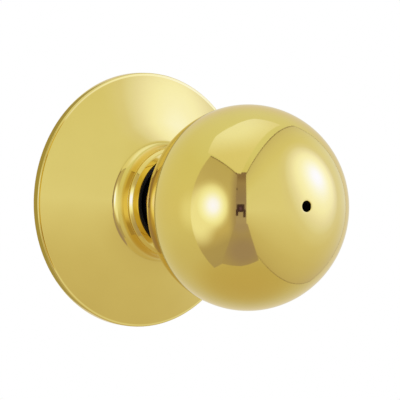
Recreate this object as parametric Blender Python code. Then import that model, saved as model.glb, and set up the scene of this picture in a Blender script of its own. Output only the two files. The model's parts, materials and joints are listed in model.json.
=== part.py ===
"""Door knob, outside half of a privacy knob set.

Frame: +Z up, the knob's axis is world Y, the door face is the plane Y = 0.
The knob stands out towards -Y and the spindle reaches into the door along +Y.
Every piece hangs from an empty whose local Z is the knob's axis pointing out
of the door, so a turned piece's profile is (radius, distance from the door).
"""
import math

import bmesh
import bpy
from mathutils import Vector

MM = 0.001

# ---- driving dimensions, millimetres --------------------------------------
ROSE_RADIUS = 33.35          # cover plate, 2-5/8 in across
ROSE_RIM_DEPTH = 1.55        # straight edge of the rim
ROSE_CONE_FOOT = (32.8, 2.05)
ROSE_CONE_TOP = (15.9, 10.30)
ROSE_SHEET = 0.9
COLLAR_BASE = (15.59, 10.50)
COLLAR_LIP_RADIUS = 14.03
COLLAR_FRONT = 16.95
SLEEVE_BORE = 11.7
SLEEVE_OUTER = 13.0

BALL_RADIUS = 26.28          # across the axis, 2-1/16 in
BALL_AXIAL = 24.72           # along the axis
BALL_CENTRE = 48.16          # from the door face
BALL_SHEET = 1.0
BALL_SEAM = 142.0            # polar angle of the shell's rear edge, degrees
RELEASE_HOLE = 1.4           # radius of the hole in the ball's front
HOLE_RISE = 1.4              # the hole's centre lies this far above the axis
HOLE_BLEND = 14.0            # radius beyond which the mesh is centred again
NECK_RADIUS = 11.1
NECK_END = 18.9

PLATE_RADIUS = 28.5
PLATE_THICK = 1.6
POST_SPACING = 38.0          # between the two through-posts
POST_RADIUS = 3.5
POST_LENGTH = 25.0
POST_THREAD = 2.0            # bore of the thread, radius
RIVET_X = 20.5
HUB_OUTER = 11.0
HUB_INNER = 9.6
DRIVE_OUTER = 8.2            # spindle sleeve
DRIVE_INNER = 7.0
SHANK_OUTER = 9.9
SHANK_INNER = 8.5
SPINDLE_RADIUS = 3.9
SPINDLE_FLAT = 2.3
SPINDLE_FLAT_END = -11.0     # the flat runs from the bar's end to here
SPINDLE_BORE = 1.5
SPINDLE_END = 38.0           # behind the door face
ROD_RADIUS = 1.15
ROD_END = 41.0
TURN_LIMIT = 60.0            # degrees each way
LUG_HALF = 7.0               # half angle of the driver's lug
EAR_HALF = 5.0               # half angle of the driver's stop ear
GAP = 0.3

LARGE, MEDIUM, SMALL = 40, 28, 16

for old in list(bpy.data.objects):
    bpy.data.objects.remove(old, do_unlink=True)


# ---- materials -------------------------------------------------------------
def material(name, colour, roughness, metallic):
    mat = bpy.data.materials.new(name)
    mat.use_nodes = True
    shader = mat.node_tree.nodes["Principled BSDF"]
    shader.inputs["Base Color"].default_value = (*colour, 1.0)
    shader.inputs["Roughness"].default_value = roughness
    shader.inputs["Metallic"].default_value = metallic
    mat.diffuse_color = (*colour, 1.0)
    return mat


POLISHED_BRASS = dict(colour=(0.80, 0.62, 0.26), roughness=0.08, metallic=1.0)
ZINC_STEEL = dict(colour=(0.62, 0.63, 0.65), roughness=0.35, metallic=1.0)
BLACK_STEEL = dict(colour=(0.05, 0.045, 0.045), roughness=0.45, metallic=0.6)
SPRING_STEEL = dict(colour=(0.30, 0.30, 0.32), roughness=0.4, metallic=1.0)
BLACK_NYLON = dict(colour=(0.02, 0.02, 0.022), roughness=0.5, metallic=0.0)
WHITE_NYLON = dict(colour=(0.80, 0.79, 0.75), roughness=0.5, metallic=0.0)
BRONZE = dict(colour=(0.55, 0.38, 0.20), roughness=0.4, metallic=1.0)


# ---- axes ------------------------------------------------------------------
def axis_empty(name, parent=None):
    empty = bpy.data.objects.new(name, None)
    empty.empty_display_size = 0.02
    bpy.context.collection.objects.link(empty)
    if parent is None:
        empty.rotation_euler = (math.radians(90.0), 0.0, 0.0)
    else:
        empty.parent = parent
    return empty


rose_axis = axis_empty("rose_axis")
knob_axis = axis_empty("knob_axis", rose_axis)
release_axis = axis_empty("release_axis", knob_axis)


# ---- shape tools -----------------------------------------------------------
def finish(name, bm, finish_of, parent, seat=0.0):
    """Turns a closed bmesh into an object whose origin is on the axis."""
    bmesh.ops.recalc_face_normals(bm, faces=bm.faces[:])
    if bm.calc_volume(signed=True) < 0.0:
        bmesh.ops.reverse_faces(bm, faces=bm.faces[:])
    mesh = bpy.data.meshes.new(name)
    bm.to_mesh(mesh)
    bm.free()
    obj = bpy.data.objects.new(name, mesh)
    bpy.context.collection.objects.link(obj)
    obj.parent = parent
    obj.location = (0.0, 0.0, seat * MM)
    if finish_of is not None:
        mesh.materials.append(material(name, **finish_of))
    mesh.shade_smooth()
    mesh.set_sharp_from_angle(angle=math.radians(32.0))
    return obj


def ring_points(bm, r, s, angles):
    if r <= 1e-9:
        return [bm.verts.new((0.0, 0.0, s * MM))]
    return [bm.verts.new((r * math.cos(a) * MM, r * math.sin(a) * MM, s * MM))
            for a in angles]


def bridge_rings(bm, lower, upper, closed=True):
    n = max(len(lower), len(upper))
    last = n if closed else n - 1
    for i in range(last):
        j = (i + 1) % n
        if len(lower) == 1:
            bm.faces.new((lower[0], upper[j], upper[i]))
        elif len(upper) == 1:
            bm.faces.new((lower[i], lower[j], upper[0]))
        else:
            bm.faces.new((lower[i], lower[j], upper[j], upper[i]))


def turned(name, profile, segments, finish_of, parent, seat=0.0):
    """A closed profile of (radius, height) points turned about the axis."""
    bm = bmesh.new()
    angles = [2.0 * math.pi * i / segments for i in range(segments)]
    rings = [ring_points(bm, r, s - seat, angles) for r, s in profile]
    for k, ring in enumerate(rings):
        following = rings[(k + 1) % len(rings)]
        if len(ring) == 1 and len(following) == 1:
            continue
        bridge_rings(bm, ring, following)
    return finish(name, bm, finish_of, parent, seat)


def sector(name, profile, first, last, steps, finish_of, parent, seat=0.0,
           centre=(0.0, 0.0)):
    """A closed profile swept through part of a turn, angles in degrees."""
    bm = bmesh.new()
    angles = [math.radians(first + (last - first) * i / steps)
              for i in range(steps + 1)]
    rings = [ring_points(bm, r, s - seat, angles) for r, s in profile]
    for k, ring in enumerate(rings):
        bridge_rings(bm, ring, rings[(k + 1) % len(rings)], closed=False)
    bm.faces.new([ring[0] for ring in rings])
    bm.faces.new([ring[-1] for ring in reversed(rings)])
    return finish(name, bm, finish_of, parent, seat)


def wire(name, path, radius, sides, finish_of, parent, seat=0.0):
    """A round wire swept along a list of points, with flat ends."""
    bm = bmesh.new()
    points = [Vector((x, y, s - seat)) for x, y, s in path]
    tangents = []
    for i in range(len(points)):
        before = points[max(i - 1, 0)]
        after = points[min(i + 1, len(points) - 1)]
        tangents.append((after - before).normalized())
    side = tangents[0].orthogonal().normalized()
    rings = []
    for i, (point, tangent) in enumerate(zip(points, tangents)):
        side = (side - tangent * side.dot(tangent)).normalized()
        other = tangent.cross(side)
        ring = []
        for k in range(sides):
            a = 2.0 * math.pi * k / sides
            ring.append(bm.verts.new(
                (point + side * (radius * math.cos(a))
                 + other * (radius * math.sin(a))) * MM))
        rings.append(ring)
    for lower, upper in zip(rings, rings[1:]):
        bridge_rings(bm, lower, upper)
    bm.faces.new(list(reversed(rings[0])))
    bm.faces.new(rings[-1])
    return finish(name, bm, finish_of, parent, seat)


def tool(obj):
    """Marks a shape that only cuts or adds to another."""
    obj.hide_render = True
    obj.display_type = "WIRE"
    return obj


def combine(target, helper, operation):
    mod = target.modifiers.new(helper.name, "BOOLEAN")
    mod.operation = operation
    mod.object = tool(helper)
    mod.solver = "EXACT"


def drill(name, target, x, z, radius, low, high, sides=16):
    bm = bmesh.new()
    angles = [2.0 * math.pi * (i + 0.37) / sides for i in range(sides)]
    bottom = [bm.verts.new((radius * math.cos(a) * MM, radius * math.sin(a) * MM,
                            low * MM)) for a in angles]
    top = [bm.verts.new((v.co.x, v.co.y, high * MM)) for v in bottom]
    bridge_rings(bm, bottom, top)
    bm.faces.new(list(reversed(bottom)))
    bm.faces.new(top)
    cutter = finish(name, bm, None, target.parent)
    cutter.location = (x * MM, z * MM, 0.0)
    combine(target, cutter, "DIFFERENCE")


def bezier(start, control, end, steps):
    points = []
    for i in range(steps + 1):
        t = i / steps
        points.append(tuple((1 - t) ** 2 * a + 2 * t * (1 - t) * b + t * t * c
                            for a, b, c in zip(start, control, end)))
    return points


def ball(offset, polar):
    """Point of the ball's surface, moved in by offset, at a polar angle."""
    a = math.radians(polar)
    return ((BALL_RADIUS - offset) * math.sin(a),
            BALL_CENTRE + (BALL_AXIAL - offset) * math.cos(a))


# ---- rose set: what is fixed to the door ------------------------------------
cone_slope = ((ROSE_CONE_TOP[1] - ROSE_CONE_FOOT[1])
              / (ROSE_CONE_FOOT[0] - ROSE_CONE_TOP[0]))


def under_cone(r, clearance=0.0):
    """Height of the sheet's inner face at a radius."""
    drop = (ROSE_SHEET + clearance) * math.sqrt(1.0 + cone_slope ** 2)
    return ROSE_CONE_FOOT[1] + (ROSE_CONE_FOOT[0] - r) * cone_slope - drop


rose_outside = [
    (ROSE_RADIUS, 0.0), (ROSE_RADIUS, ROSE_RIM_DEPTH),
    (ROSE_RADIUS - 0.10, 1.80), (ROSE_RADIUS - 0.28, 1.95), ROSE_CONE_FOOT,
    ROSE_CONE_TOP, COLLAR_BASE,
    (15.23, 10.90), (14.86, 11.50), (14.56, 12.43), (14.43, 13.60),
    (14.40, 15.0),
]
rose_inside = [
    (13.3, 15.0), (13.3, 12.2), (14.3, 10.6), (14.6, under_cone(14.6)),
    (ROSE_RADIUS - ROSE_SHEET, under_cone(ROSE_RADIUS - ROSE_SHEET)),
    (ROSE_RADIUS - ROSE_SHEET, 0.0),
]
turned("rose", rose_outside + rose_inside, LARGE, POLISHED_BRASS, rose_axis)

turned("collar_ring", [
    (SLEEVE_BORE, 8.5), (SLEEVE_OUTER, 8.5), (SLEEVE_OUTER, 15.3),
    (COLLAR_LIP_RADIUS, 15.3), (COLLAR_LIP_RADIUS, 15.85), (13.92, 16.08),
    (12.6, 16.82), (12.2, COLLAR_FRONT), (SLEEVE_BORE + 0.1, 16.85),
    (SLEEVE_BORE, 16.4),
], LARGE, POLISHED_BRASS, rose_axis, 8.5)

turned("collar_bush", [
    (SHANK_OUTER + 0.4, 8.5), (SLEEVE_BORE - GAP, 8.5),
    (SLEEVE_BORE - GAP, 15.9), (SHANK_OUTER + 0.4, 15.9),
], MEDIUM, BLACK_NYLON, rose_axis, 8.5)

liner_outer = ROSE_RADIUS - ROSE_SHEET - 0.35
turned("rose_liner", [
    (29.0, 0.0), (liner_outer, 0.0), (liner_outer, under_cone(liner_outer, 0.32)),
    (29.0, under_cone(29.0, 0.5)),
], LARGE, WHITE_NYLON, rose_axis)

plate = turned("mounting_plate", [
    (HUB_OUTER + GAP, 0.0), (PLATE_RADIUS, 0.0), (PLATE_RADIUS, PLATE_THICK),
    (HUB_OUTER + GAP, PLATE_THICK),
], LARGE, ZINC_STEEL, rose_axis)
# fixed tab between the legs of the return spring, at the bottom
combine(plate, sector("plate_spring_tab", [
    (14.4, 0.8), (15.4, 0.8), (15.4, 5.0), (14.4, 5.0),
], -90.0 - LUG_HALF, -90.0 + LUG_HALF, 3, None, rose_axis), "UNION")
# two tall tabs that stop the driver's ear at either end of the turn
stop_near = 90.0 - (TURN_LIMIT + EAR_HALF + 1.0)
for label, first in (("right", stop_near - 5.0), ("left", 180.0 - stop_near)):
    combine(plate, sector("plate_stop_" + label, [
        (15.9, 0.8), (16.9, 0.8), (16.9, 6.4), (15.9, 6.4),
    ], first, first + 5.0, 2, None, rose_axis), "UNION")
for label, z in (("upper", 0.5 * POST_SPACING), ("lower", -0.5 * POST_SPACING)):
    drill("plate_hole_" + label, plate, 0.0, z, 2.6, -1.0, 3.0)
for label, x in (("left", -RIVET_X), ("right", RIVET_X)):
    drill("plate_rivet_hole_" + label, plate, x, 0.0, 1.3, -1.0, 3.0, 12)

cage = turned("spring_cage", [
    (22.8, 1.9), (22.8, 2.6), (18.4, 2.6), (18.4, 7.0), (17.9, 7.5),
    (SHANK_OUTER + 0.6, 7.5), (SHANK_OUTER + 0.6, 6.9), (17.5, 6.9), (17.5, 1.9),
], 32, ZINC_STEEL, rose_axis, 1.9)
for label, x in (("left", -RIVET_X), ("right", RIVET_X)):
    drill("cage_hole_" + label, cage, x, 0.0, 1.3, 1.0, 4.0, 12)

for label, x in (("left", -RIVET_X), ("right", RIVET_X)):
    rivet = turned("cage_rivet_" + label, [
        (0.0, 0.1), (1.0, 0.1), (1.0, 2.9), (1.9, 2.9), (1.75, 3.35),
        (1.1, 3.65), (0.0, 3.75),
    ], 12, ZINC_STEEL, rose_axis)
    rivet.location = (x * MM, 0.0, 0.0)

turned("hub", [
    (HUB_INNER, -8.0), (HUB_OUTER, -8.0), (HUB_OUTER, -1.8), (14.0, -1.8),
    (14.0, -0.3), (HUB_OUTER, -0.3), (HUB_OUTER, 4.2), (HUB_INNER, 4.2),
], MEDIUM, ZINC_STEEL, rose_axis)
for name, low, high in (("hub_bush_front", 0.0, 4.0), ("hub_bush_rear", -7.8, -3.8)):
    turned(name, [
        (DRIVE_OUTER + GAP, low), (HUB_INNER - GAP, low),
        (HUB_INNER - GAP, high), (DRIVE_OUTER + GAP, high),
    ], MEDIUM, BRONZE, rose_axis, low)

# torsion spring: nearly two turns round the hub, both legs pointing down
COIL_RADIUS, COIL_WIRE = 13.0, 0.5
leg_angle = math.degrees(math.asin(2.95 / 15.0))
coil_first = -90.0 + leg_angle
coil_last = coil_first + 720.0 - 2.0 * leg_angle
spring_path = []
leg_steps = 3
for r in (17.1, 15.6):
    a = math.radians(coil_first)
    spring_path.append((r * math.cos(a), r * math.sin(a), 2.5))
for k in range(leg_steps):
    t = (k + 0.5) / leg_steps * 0.5 * math.pi
    r = COIL_RADIUS + 1.2 * (1.0 - math.sin(t))
    a = math.radians(coil_first) + 1.2 * (1.0 - math.cos(t)) / COIL_RADIUS
    spring_path.append((r * math.cos(a), r * math.sin(a), 2.5))
coil_steps = 38
span_first = coil_first + math.degrees(1.4 / COIL_RADIUS)
span_last = coil_last - math.degrees(1.4 / COIL_RADIUS)
for i in range(coil_steps + 1):
    t = i / coil_steps
    a = math.radians(span_first + (span_last - span_first) * t)
    spring_path.append((COIL_RADIUS * math.cos(a), COIL_RADIUS * math.sin(a),
                        2.5 + 2.1 * t))
for k in reversed(range(leg_steps)):
    t = (k + 0.5) / leg_steps * 0.5 * math.pi
    r = COIL_RADIUS + 1.2 * (1.0 - math.sin(t))
    a = math.radians(coil_last) - 1.2 * (1.0 - math.cos(t)) / COIL_RADIUS
    spring_path.append((r * math.cos(a), r * math.sin(a), 4.6))
for r in (15.6, 17.1):
    a = math.radians(coil_last)
    spring_path.append((r * math.cos(a), r * math.sin(a), 4.6))
wire("return_spring", spring_path, COIL_WIRE, 6, SPRING_STEEL, rose_axis, 2.5)

for label, z in (("upper", 0.5 * POST_SPACING), ("lower", -0.5 * POST_SPACING)):
    post = turned("post_" + label, [
        (POST_THREAD, -POST_LENGTH), (POST_RADIUS, -POST_LENGTH),
        (POST_RADIUS, -0.3), (2.3, -0.3), (2.3, PLATE_THICK), (0.0, PLATE_THICK),
        (0.0, -7.0), (POST_THREAD, -7.0),
    ], SMALL, ZINC_STEEL, rose_axis)
    post.location = (0.0, z * MM, 0.0)

# ---- knob: what turns ---------------------------------------------------------
def ball_ring(bm, offset, polar, radius=None):
    """One ring of the ball's surface. Near the front the rings are centred on
    the release hole, and towards HOLE_BLEND they settle on the axis."""
    r, s = ball(offset, polar)
    if radius is not None:
        r = radius
    rise = 0.0
    if polar < 90.0 and r < HOLE_BLEND:
        rise = HOLE_RISE * (HOLE_BLEND - r) / (HOLE_BLEND - RELEASE_HOLE)
    verts = []
    for i in range(LARGE):
        a = 2.0 * math.pi * i / LARGE
        x, z = r * math.cos(a), rise + r * math.sin(a)
        height = s - BALL_CENTRE
        if rise > 0.0:
            height = (BALL_AXIAL - offset) * math.sqrt(
                1.0 - (x * x + z * z) / (BALL_RADIUS - offset) ** 2)
        verts.append(bm.verts.new((x * MM, z * MM, height * MM)))
    return verts


bm = bmesh.new()
front_rings, rear_rings = 8, 4
hole_polar = math.degrees(math.asin(RELEASE_HOLE / BALL_RADIUS))
outside = [ball_ring(bm, 0.0, hole_polar, RELEASE_HOLE)]
outside += [ball_ring(bm, 0.0, hole_polar + (90.0 - hole_polar) * (k + 1) / front_rings)
            for k in range(front_rings)]
outside += [ball_ring(bm, 0.0, 90.0 + (BALL_SEAM - 90.0) * (k + 1) / rear_rings)
            for k in range(rear_rings)]
inside = [ball_ring(bm, BALL_SHEET, BALL_SEAM + (90.0 - BALL_SEAM) * k / 3)
          for k in range(4)]
inside += [ball_ring(bm, BALL_SHEET, 90.0 + (hole_polar - 90.0) * (k + 1) / 6)
           for k in range(5)]
inside += [ball_ring(bm, BALL_SHEET, hole_polar, RELEASE_HOLE)]
skin = outside + inside
for k, ring in enumerate(skin):
    bridge_rings(bm, ring, skin[(k + 1) % len(skin)])
finish("knob_shell", bm, POLISHED_BRASS, knob_axis, BALL_CENTRE)

seam = BALL_SEAM + 0.7
blend = 146.0
blend_in = ball(0.0, blend)
blend_inner = ball(BALL_SHEET, blend)
back = [(NECK_RADIUS, NECK_END)]
back += bezier((NECK_RADIUS, 22.8), (NECK_RADIUS, 25.39), blend_in, 4)
back += [ball(0.0, seam), ball(1.35, seam), ball(1.35, 136.0), ball(2.2, 136.0),
         ball(2.2, seam)]
back += bezier(blend_inner, (NECK_RADIUS - 0.9, 26.0), (NECK_RADIUS - 0.9, 23.2), 3)
back += [(NECK_RADIUS - 0.9, NECK_END)]
turned("knob_back", back, LARGE, POLISHED_BRASS, knob_axis, NECK_END)

turned("knob_support", [
    (SHANK_OUTER + GAP, 41.0), (11.2, 41.0), (11.2, 46.4), (24.9, 46.4),
    (24.9, 47.4), (SHANK_OUTER + GAP, 47.4),
], LARGE, ZINC_STEEL, knob_axis, 41.0)

turned("knob_shank", [
    (SHANK_INNER, 7.8), (SHANK_OUTER, 7.8), (SHANK_OUTER, 46.0),
    (SHANK_INNER, 46.0),
], MEDIUM, BLACK_STEEL, knob_axis, 7.8)

turned("front_guide", [
    (SPINDLE_BORE, 38.0), (DRIVE_OUTER, 38.0), (DRIVE_OUTER, 44.0), (3.8, 44.0),
    (3.8, 71.1), (2.6, 71.1), (2.6, 45.7), (SPINDLE_BORE, 45.7),
], SMALL, BLACK_NYLON, knob_axis, 38.0)

turned("spindle_sleeve", [
    (DRIVE_INNER, -10.3), (DRIVE_OUTER, -10.3), (DRIVE_OUTER, 34.0),
    (DRIVE_INNER, 34.0),
], MEDIUM, ZINC_STEEL, knob_axis, -10.3)

turned("spindle_collar", [
    (SPINDLE_RADIUS + GAP, -9.5), (DRIVE_INNER - GAP, -9.5),
    (DRIVE_INNER - GAP, 6.0), (SPINDLE_RADIUS + GAP, 6.0),
], 20, ZINC_STEEL, knob_axis, -9.5)


# a round bar, milled to a half-round over the length that works the latch
spindle = turned("spindle", [
    (SPINDLE_BORE, -SPINDLE_END), (SPINDLE_RADIUS, -SPINDLE_END),
    (SPINDLE_RADIUS, 14.0), (SPINDLE_BORE, 14.0),
], 24, ZINC_STEEL, knob_axis, -SPINDLE_END)
bm = bmesh.new()
bmesh.ops.create_cube(bm, size=1.0)
bmesh.ops.scale(bm, vec=(12.0 * MM, 6.0 * MM, 40.0 * MM), verts=bm.verts)
bmesh.ops.translate(bm, vec=(0.0, (SPINDLE_FLAT + 3.0) * MM,
                             (SPINDLE_FLAT_END - 20.0) * MM), verts=bm.verts)
combine(spindle, finish("spindle_mill", bm, None, knob_axis), "DIFFERENCE")

driver = turned("spring_driver", [
    (DRIVE_OUTER + GAP, 5.5), (15.0, 5.5), (15.0, 6.5), (DRIVE_OUTER + GAP, 6.5),
], MEDIUM, ZINC_STEEL, knob_axis, 5.5)
combine(driver, sector("driver_lug", [
    (14.0, 5.6), (15.9, 5.6), (15.9, 2.2), (16.9, 2.2), (16.9, 6.4), (14.0, 6.4),
], -90.0 - LUG_HALF, -90.0 + LUG_HALF, 3, None, knob_axis), "UNION")
combine(driver, sector("driver_ear", [
    (14.0, 5.6), (16.9, 5.6), (16.9, 6.4), (14.0, 6.4),
], 90.0 - EAR_HALF, 90.0 + EAR_HALF, 3, None, knob_axis), "UNION")

turned("thrust_washer", [
    (DRIVE_OUTER + GAP, 4.5), (10.8, 4.5), (10.8, 5.2), (DRIVE_OUTER + GAP, 5.2),
], MEDIUM, BRONZE, knob_axis, 4.5)

sector("retaining_ring", [
    (DRIVE_OUTER + GAP, -9.3), (10.4, -9.3), (10.4, -8.3),
    (DRIVE_OUTER + GAP, -8.3),
], 110.0, 430.0, 24, SPRING_STEEL, knob_axis, -9.3)

# ---- release: what slides down the middle -------------------------------------
turned("release_rod", [
    (0.0, -ROD_END), (ROD_RADIUS, -ROD_END + 0.4), (ROD_RADIUS, 61.1), (0.0, 61.1),
], 12, ZINC_STEEL, release_axis, -ROD_END)

turned("release_plunger", [
    (0.0, 61.4), (1.45, 61.4), (1.45, 57.6), (2.25, 57.6), (2.25, 67.0),
    (1.75, 67.0), (0.0, 65.4),
], SMALL, BLACK_NYLON, release_axis, 57.6)

sector("rod_clip", [
    (1.45, -39.2), (2.9, -39.2), (2.9, -38.4), (1.45, -38.4),
], 110.0, 430.0, 12, SPRING_STEEL, release_axis, -39.2)

SPRING_LOW, SPRING_HIGH, SPRING_TURNS = 46.2, 57.1, 6
coil = []
for i in range(SPRING_TURNS * 10 + 1):
    t = i / (SPRING_TURNS * 10)
    a = 2.0 * math.pi * SPRING_TURNS * t
    coil.append((1.95 * math.cos(a), 1.95 * math.sin(a),
                 SPRING_LOW + (SPRING_HIGH - SPRING_LOW) * t))
wire("release_spring", coil, 0.2, 4, SPRING_STEEL, release_axis, SPRING_LOW)
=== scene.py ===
"""Looks of the door knob: fine spun-brass surfaces, the mechanism's machined
pieces, their materials, and a plain white studio."""
import json
import math

import bmesh
import bpy
from mathutils import Matrix, Vector


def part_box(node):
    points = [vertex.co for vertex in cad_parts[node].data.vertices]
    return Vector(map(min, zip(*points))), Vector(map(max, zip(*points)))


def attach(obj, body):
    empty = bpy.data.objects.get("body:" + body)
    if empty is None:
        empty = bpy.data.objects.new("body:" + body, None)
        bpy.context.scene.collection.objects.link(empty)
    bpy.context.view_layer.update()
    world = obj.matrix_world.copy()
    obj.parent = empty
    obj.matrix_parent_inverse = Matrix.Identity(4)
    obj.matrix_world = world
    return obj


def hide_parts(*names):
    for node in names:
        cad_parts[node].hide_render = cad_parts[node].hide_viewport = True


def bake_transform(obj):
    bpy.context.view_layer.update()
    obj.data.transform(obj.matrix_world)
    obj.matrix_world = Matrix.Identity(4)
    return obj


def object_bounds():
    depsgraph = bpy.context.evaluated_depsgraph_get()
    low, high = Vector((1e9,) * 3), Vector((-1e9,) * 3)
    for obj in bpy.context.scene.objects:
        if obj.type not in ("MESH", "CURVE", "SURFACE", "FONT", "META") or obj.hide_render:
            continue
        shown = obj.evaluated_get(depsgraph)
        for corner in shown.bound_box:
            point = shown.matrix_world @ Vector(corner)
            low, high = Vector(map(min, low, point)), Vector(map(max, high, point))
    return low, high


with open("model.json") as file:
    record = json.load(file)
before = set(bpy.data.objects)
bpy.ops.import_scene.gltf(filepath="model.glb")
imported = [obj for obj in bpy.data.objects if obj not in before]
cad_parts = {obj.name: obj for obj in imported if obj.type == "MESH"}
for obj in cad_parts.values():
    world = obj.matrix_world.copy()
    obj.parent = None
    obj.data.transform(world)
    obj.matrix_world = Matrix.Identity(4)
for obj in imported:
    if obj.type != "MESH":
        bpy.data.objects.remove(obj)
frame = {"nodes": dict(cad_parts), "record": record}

CAD_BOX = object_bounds()
MM = 0.001
scene = bpy.context.scene

# ---- reference points from the frame ------------------------------------------
rose_low, rose_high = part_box("rose")
shell_low, shell_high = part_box("knob_shell")
AXIS_X = 0.5 * (rose_low.x + rose_high.x)
AXIS_Z = 0.5 * (rose_low.z + rose_high.z)
DOOR_Y = rose_high.y
ORIGIN = Vector((AXIS_X, DOOR_Y, AXIS_Z))
BALL_CENTRE = 48.16
BALL_R, BALL_B = 26.28, 24.72
BALL = ORIGIN + Vector((0.0, -BALL_CENTRE * MM, 0.0))

# ---- small geometry tools -------------------------------------------------------


def rounded(points, closed=True, steps=5):
    """points are (r, s) or (r, s, radius); corners with a radius become arcs."""
    out = []
    n = len(points)
    for i, p in enumerate(points):
        rad = p[2] if len(p) > 2 else 0.0
        here = Vector((p[0], p[1]))
        if rad <= 0.0 or (not closed and i in (0, n - 1)):
            out.append((here.x, here.y))
            continue
        a = Vector(points[i - 1][:2]) - here
        b = Vector(points[(i + 1) % n][:2]) - here
        la, lb = a.length, b.length
        a, b = a / la, b / lb
        turn = math.acos(max(-1.0, min(1.0, a.dot(b))))
        reach = rad / math.tan(turn / 2.0)
        cap = 0.49 * min(la, lb)
        if reach > cap:
            reach = cap
            rad = reach * math.tan(turn / 2.0)
        start, end = here + a * reach, here + b * reach
        centre = here + (a + b).normalized() * (rad / math.sin(turn / 2.0))
        u, v = start - centre, end - centre
        sweep = math.pi - turn
        sign = 1.0 if u.x * v.y - u.y * v.x > 0 else -1.0
        count = max(2, int(math.ceil(steps * sweep / (math.pi / 2))))
        for k in range(count + 1):
            t = sign * sweep * k / count
            c, s = math.cos(t), math.sin(t)
            out.append((centre.x + u.x * c - u.y * s, centre.y + u.x * s + u.y * c))
    return held(out, closed)


def held(points, closed, reach=0.06):
    """Adds a point just inside each end of a long straight run, so that flats
    stay flat under smooth shading."""
    out = []
    n = len(points)
    for i, p in enumerate(points):
        out.append(p)
        if not closed and i == n - 1:
            break
        q = points[(i + 1) % n]
        d = math.hypot(q[0] - p[0], q[1] - p[1])
        if d > 0.5:
            t = reach / d
            out.append((p[0] + (q[0] - p[0]) * t, p[1] + (q[1] - p[1]) * t))
            out.append((q[0] - (q[0] - p[0]) * t, q[1] - (q[1] - p[1]) * t))
    return out


def bezier(p0, p1, p2, n):
    return [tuple((1 - t) ** 2 * a + 2 * t * (1 - t) * b + t * t * c
                  for a, b, c in zip(p0, p1, p2))
            for t in (i / n for i in range(n + 1))]


def ball(offset, polar):
    a = math.radians(polar)
    return ((BALL_R - offset) * math.sin(a), BALL_CENTRE + (BALL_B - offset) * math.cos(a))


def place(r, a, s):
    """Axis frame (radius, angle, distance from the door) to the row frame."""
    return (ORIGIN.x + r * math.cos(a) * MM, ORIGIN.y - s * MM,
            ORIGIN.z + r * math.sin(a) * MM)


def finish_mesh(name, bm, mat, sharp=40.0):
    bmesh.ops.remove_doubles(bm, verts=bm.verts[:], dist=1e-7)
    bmesh.ops.recalc_face_normals(bm, faces=bm.faces[:])
    if bm.calc_volume(signed=True) < 0.0:
        bmesh.ops.reverse_faces(bm, faces=bm.faces[:])
    mesh = bpy.data.meshes.new(name)
    bm.to_mesh(mesh)
    bm.free()
    obj = bpy.data.objects.new(name, mesh)
    scene.collection.objects.link(obj)
    if mat is not None:
        mesh.materials.append(mat)
    mesh.shade_smooth()
    mesh.set_sharp_from_angle(angle=math.radians(sharp))
    return obj


def lathe_into(bm, profile, segments, centre=(0.0, 0.0)):
    rings = []
    for r, s in profile:
        if r < 1e-6:
            x, y, z = place(0.0, 0.0, s)
            rings.append([bm.verts.new((x + centre[0] * MM, y, z + centre[1] * MM))])
            continue
        ring = []
        for i in range(segments):
            x, y, z = place(r, 2.0 * math.pi * i / segments, s)
            ring.append(bm.verts.new((x + centre[0] * MM, y, z + centre[1] * MM)))
        rings.append(ring)
    for k, ring in enumerate(rings):
        other = rings[(k + 1) % len(rings)]
        if len(ring) == 1 and len(other) == 1:
            continue
        for i in range(segments):
            j = (i + 1) % segments
            if len(ring) == 1:
                bm.faces.new((ring[0], other[j], other[i]))
            elif len(other) == 1:
                bm.faces.new((ring[i], ring[j], other[0]))
            else:
                bm.faces.new((ring[i], ring[j], other[j], other[i]))


def turned(name, profile, segments, mat, centre=(0.0, 0.0), sharp=40.0):
    bm = bmesh.new()
    lathe_into(bm, profile, segments, centre)
    return finish_mesh(name, bm, mat, sharp)


def swept_sector(name, profile, first, last, steps, mat, sharp=40.0):
    bm = bmesh.new()
    rings = []
    for r, s in profile:
        rings.append([bm.verts.new(place(r, math.radians(first + (last - first) * i / steps), s))
                      for i in range(steps + 1)])
    for k, ring in enumerate(rings):
        other = rings[(k + 1) % len(rings)]
        for i in range(steps):
            bm.faces.new((ring[i], ring[i + 1], other[i + 1], other[i]))
    bm.faces.new([ring[0] for ring in rings])
    bm.faces.new([ring[-1] for ring in reversed(rings)])
    return finish_mesh(name, bm, mat, sharp)


def stand_for(obj, body, node):
    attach(obj, body)
    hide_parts(node)
    return obj


# ---- materials --------------------------------------------------------------------


def new_material(name):
    mat = bpy.data.materials.new(name)
    mat.use_nodes = True
    nodes, links = mat.node_tree.nodes, mat.node_tree.links
    shader = nodes["Principled BSDF"]
    return mat, nodes, links, shader


def math_node(nodes, links, operation, a, b=None, c=None, clamp=False):
    node = nodes.new("ShaderNodeMath")
    node.operation = operation
    node.use_clamp = clamp
    for socket, value in zip(node.inputs, (a, b, c)):
        if value is None:
            continue
        if isinstance(value, (int, float)):
            socket.default_value = value
        else:
            links.new(value, socket)
    return node.outputs[0]


def noise(nodes, links, vector, scale, detail=3.0, rough=0.5):
    node = nodes.new("ShaderNodeTexNoise")
    node.inputs["Scale"].default_value = scale
    node.inputs["Detail"].default_value = detail
    node.inputs["Roughness"].default_value = rough
    links.new(vector, node.inputs["Vector"])
    return node.outputs["Fac"]


def ramp(nodes, links, fac, stops, mode="LINEAR"):
    node = nodes.new("ShaderNodeValToRGB")
    node.color_ramp.interpolation = mode
    elements = node.color_ramp.elements
    while len(elements) > len(stops):
        elements.remove(elements[-1])
    while len(elements) < len(stops):
        elements.new(0.5)
    for element, (position, colour) in zip(elements, stops):
        element.position = position
        if isinstance(colour, (int, float)):
            colour = (colour, colour, colour)
        element.color = (*colour, 1.0)
    links.new(fac, node.inputs["Fac"])
    return node.outputs["Color"]


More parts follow.
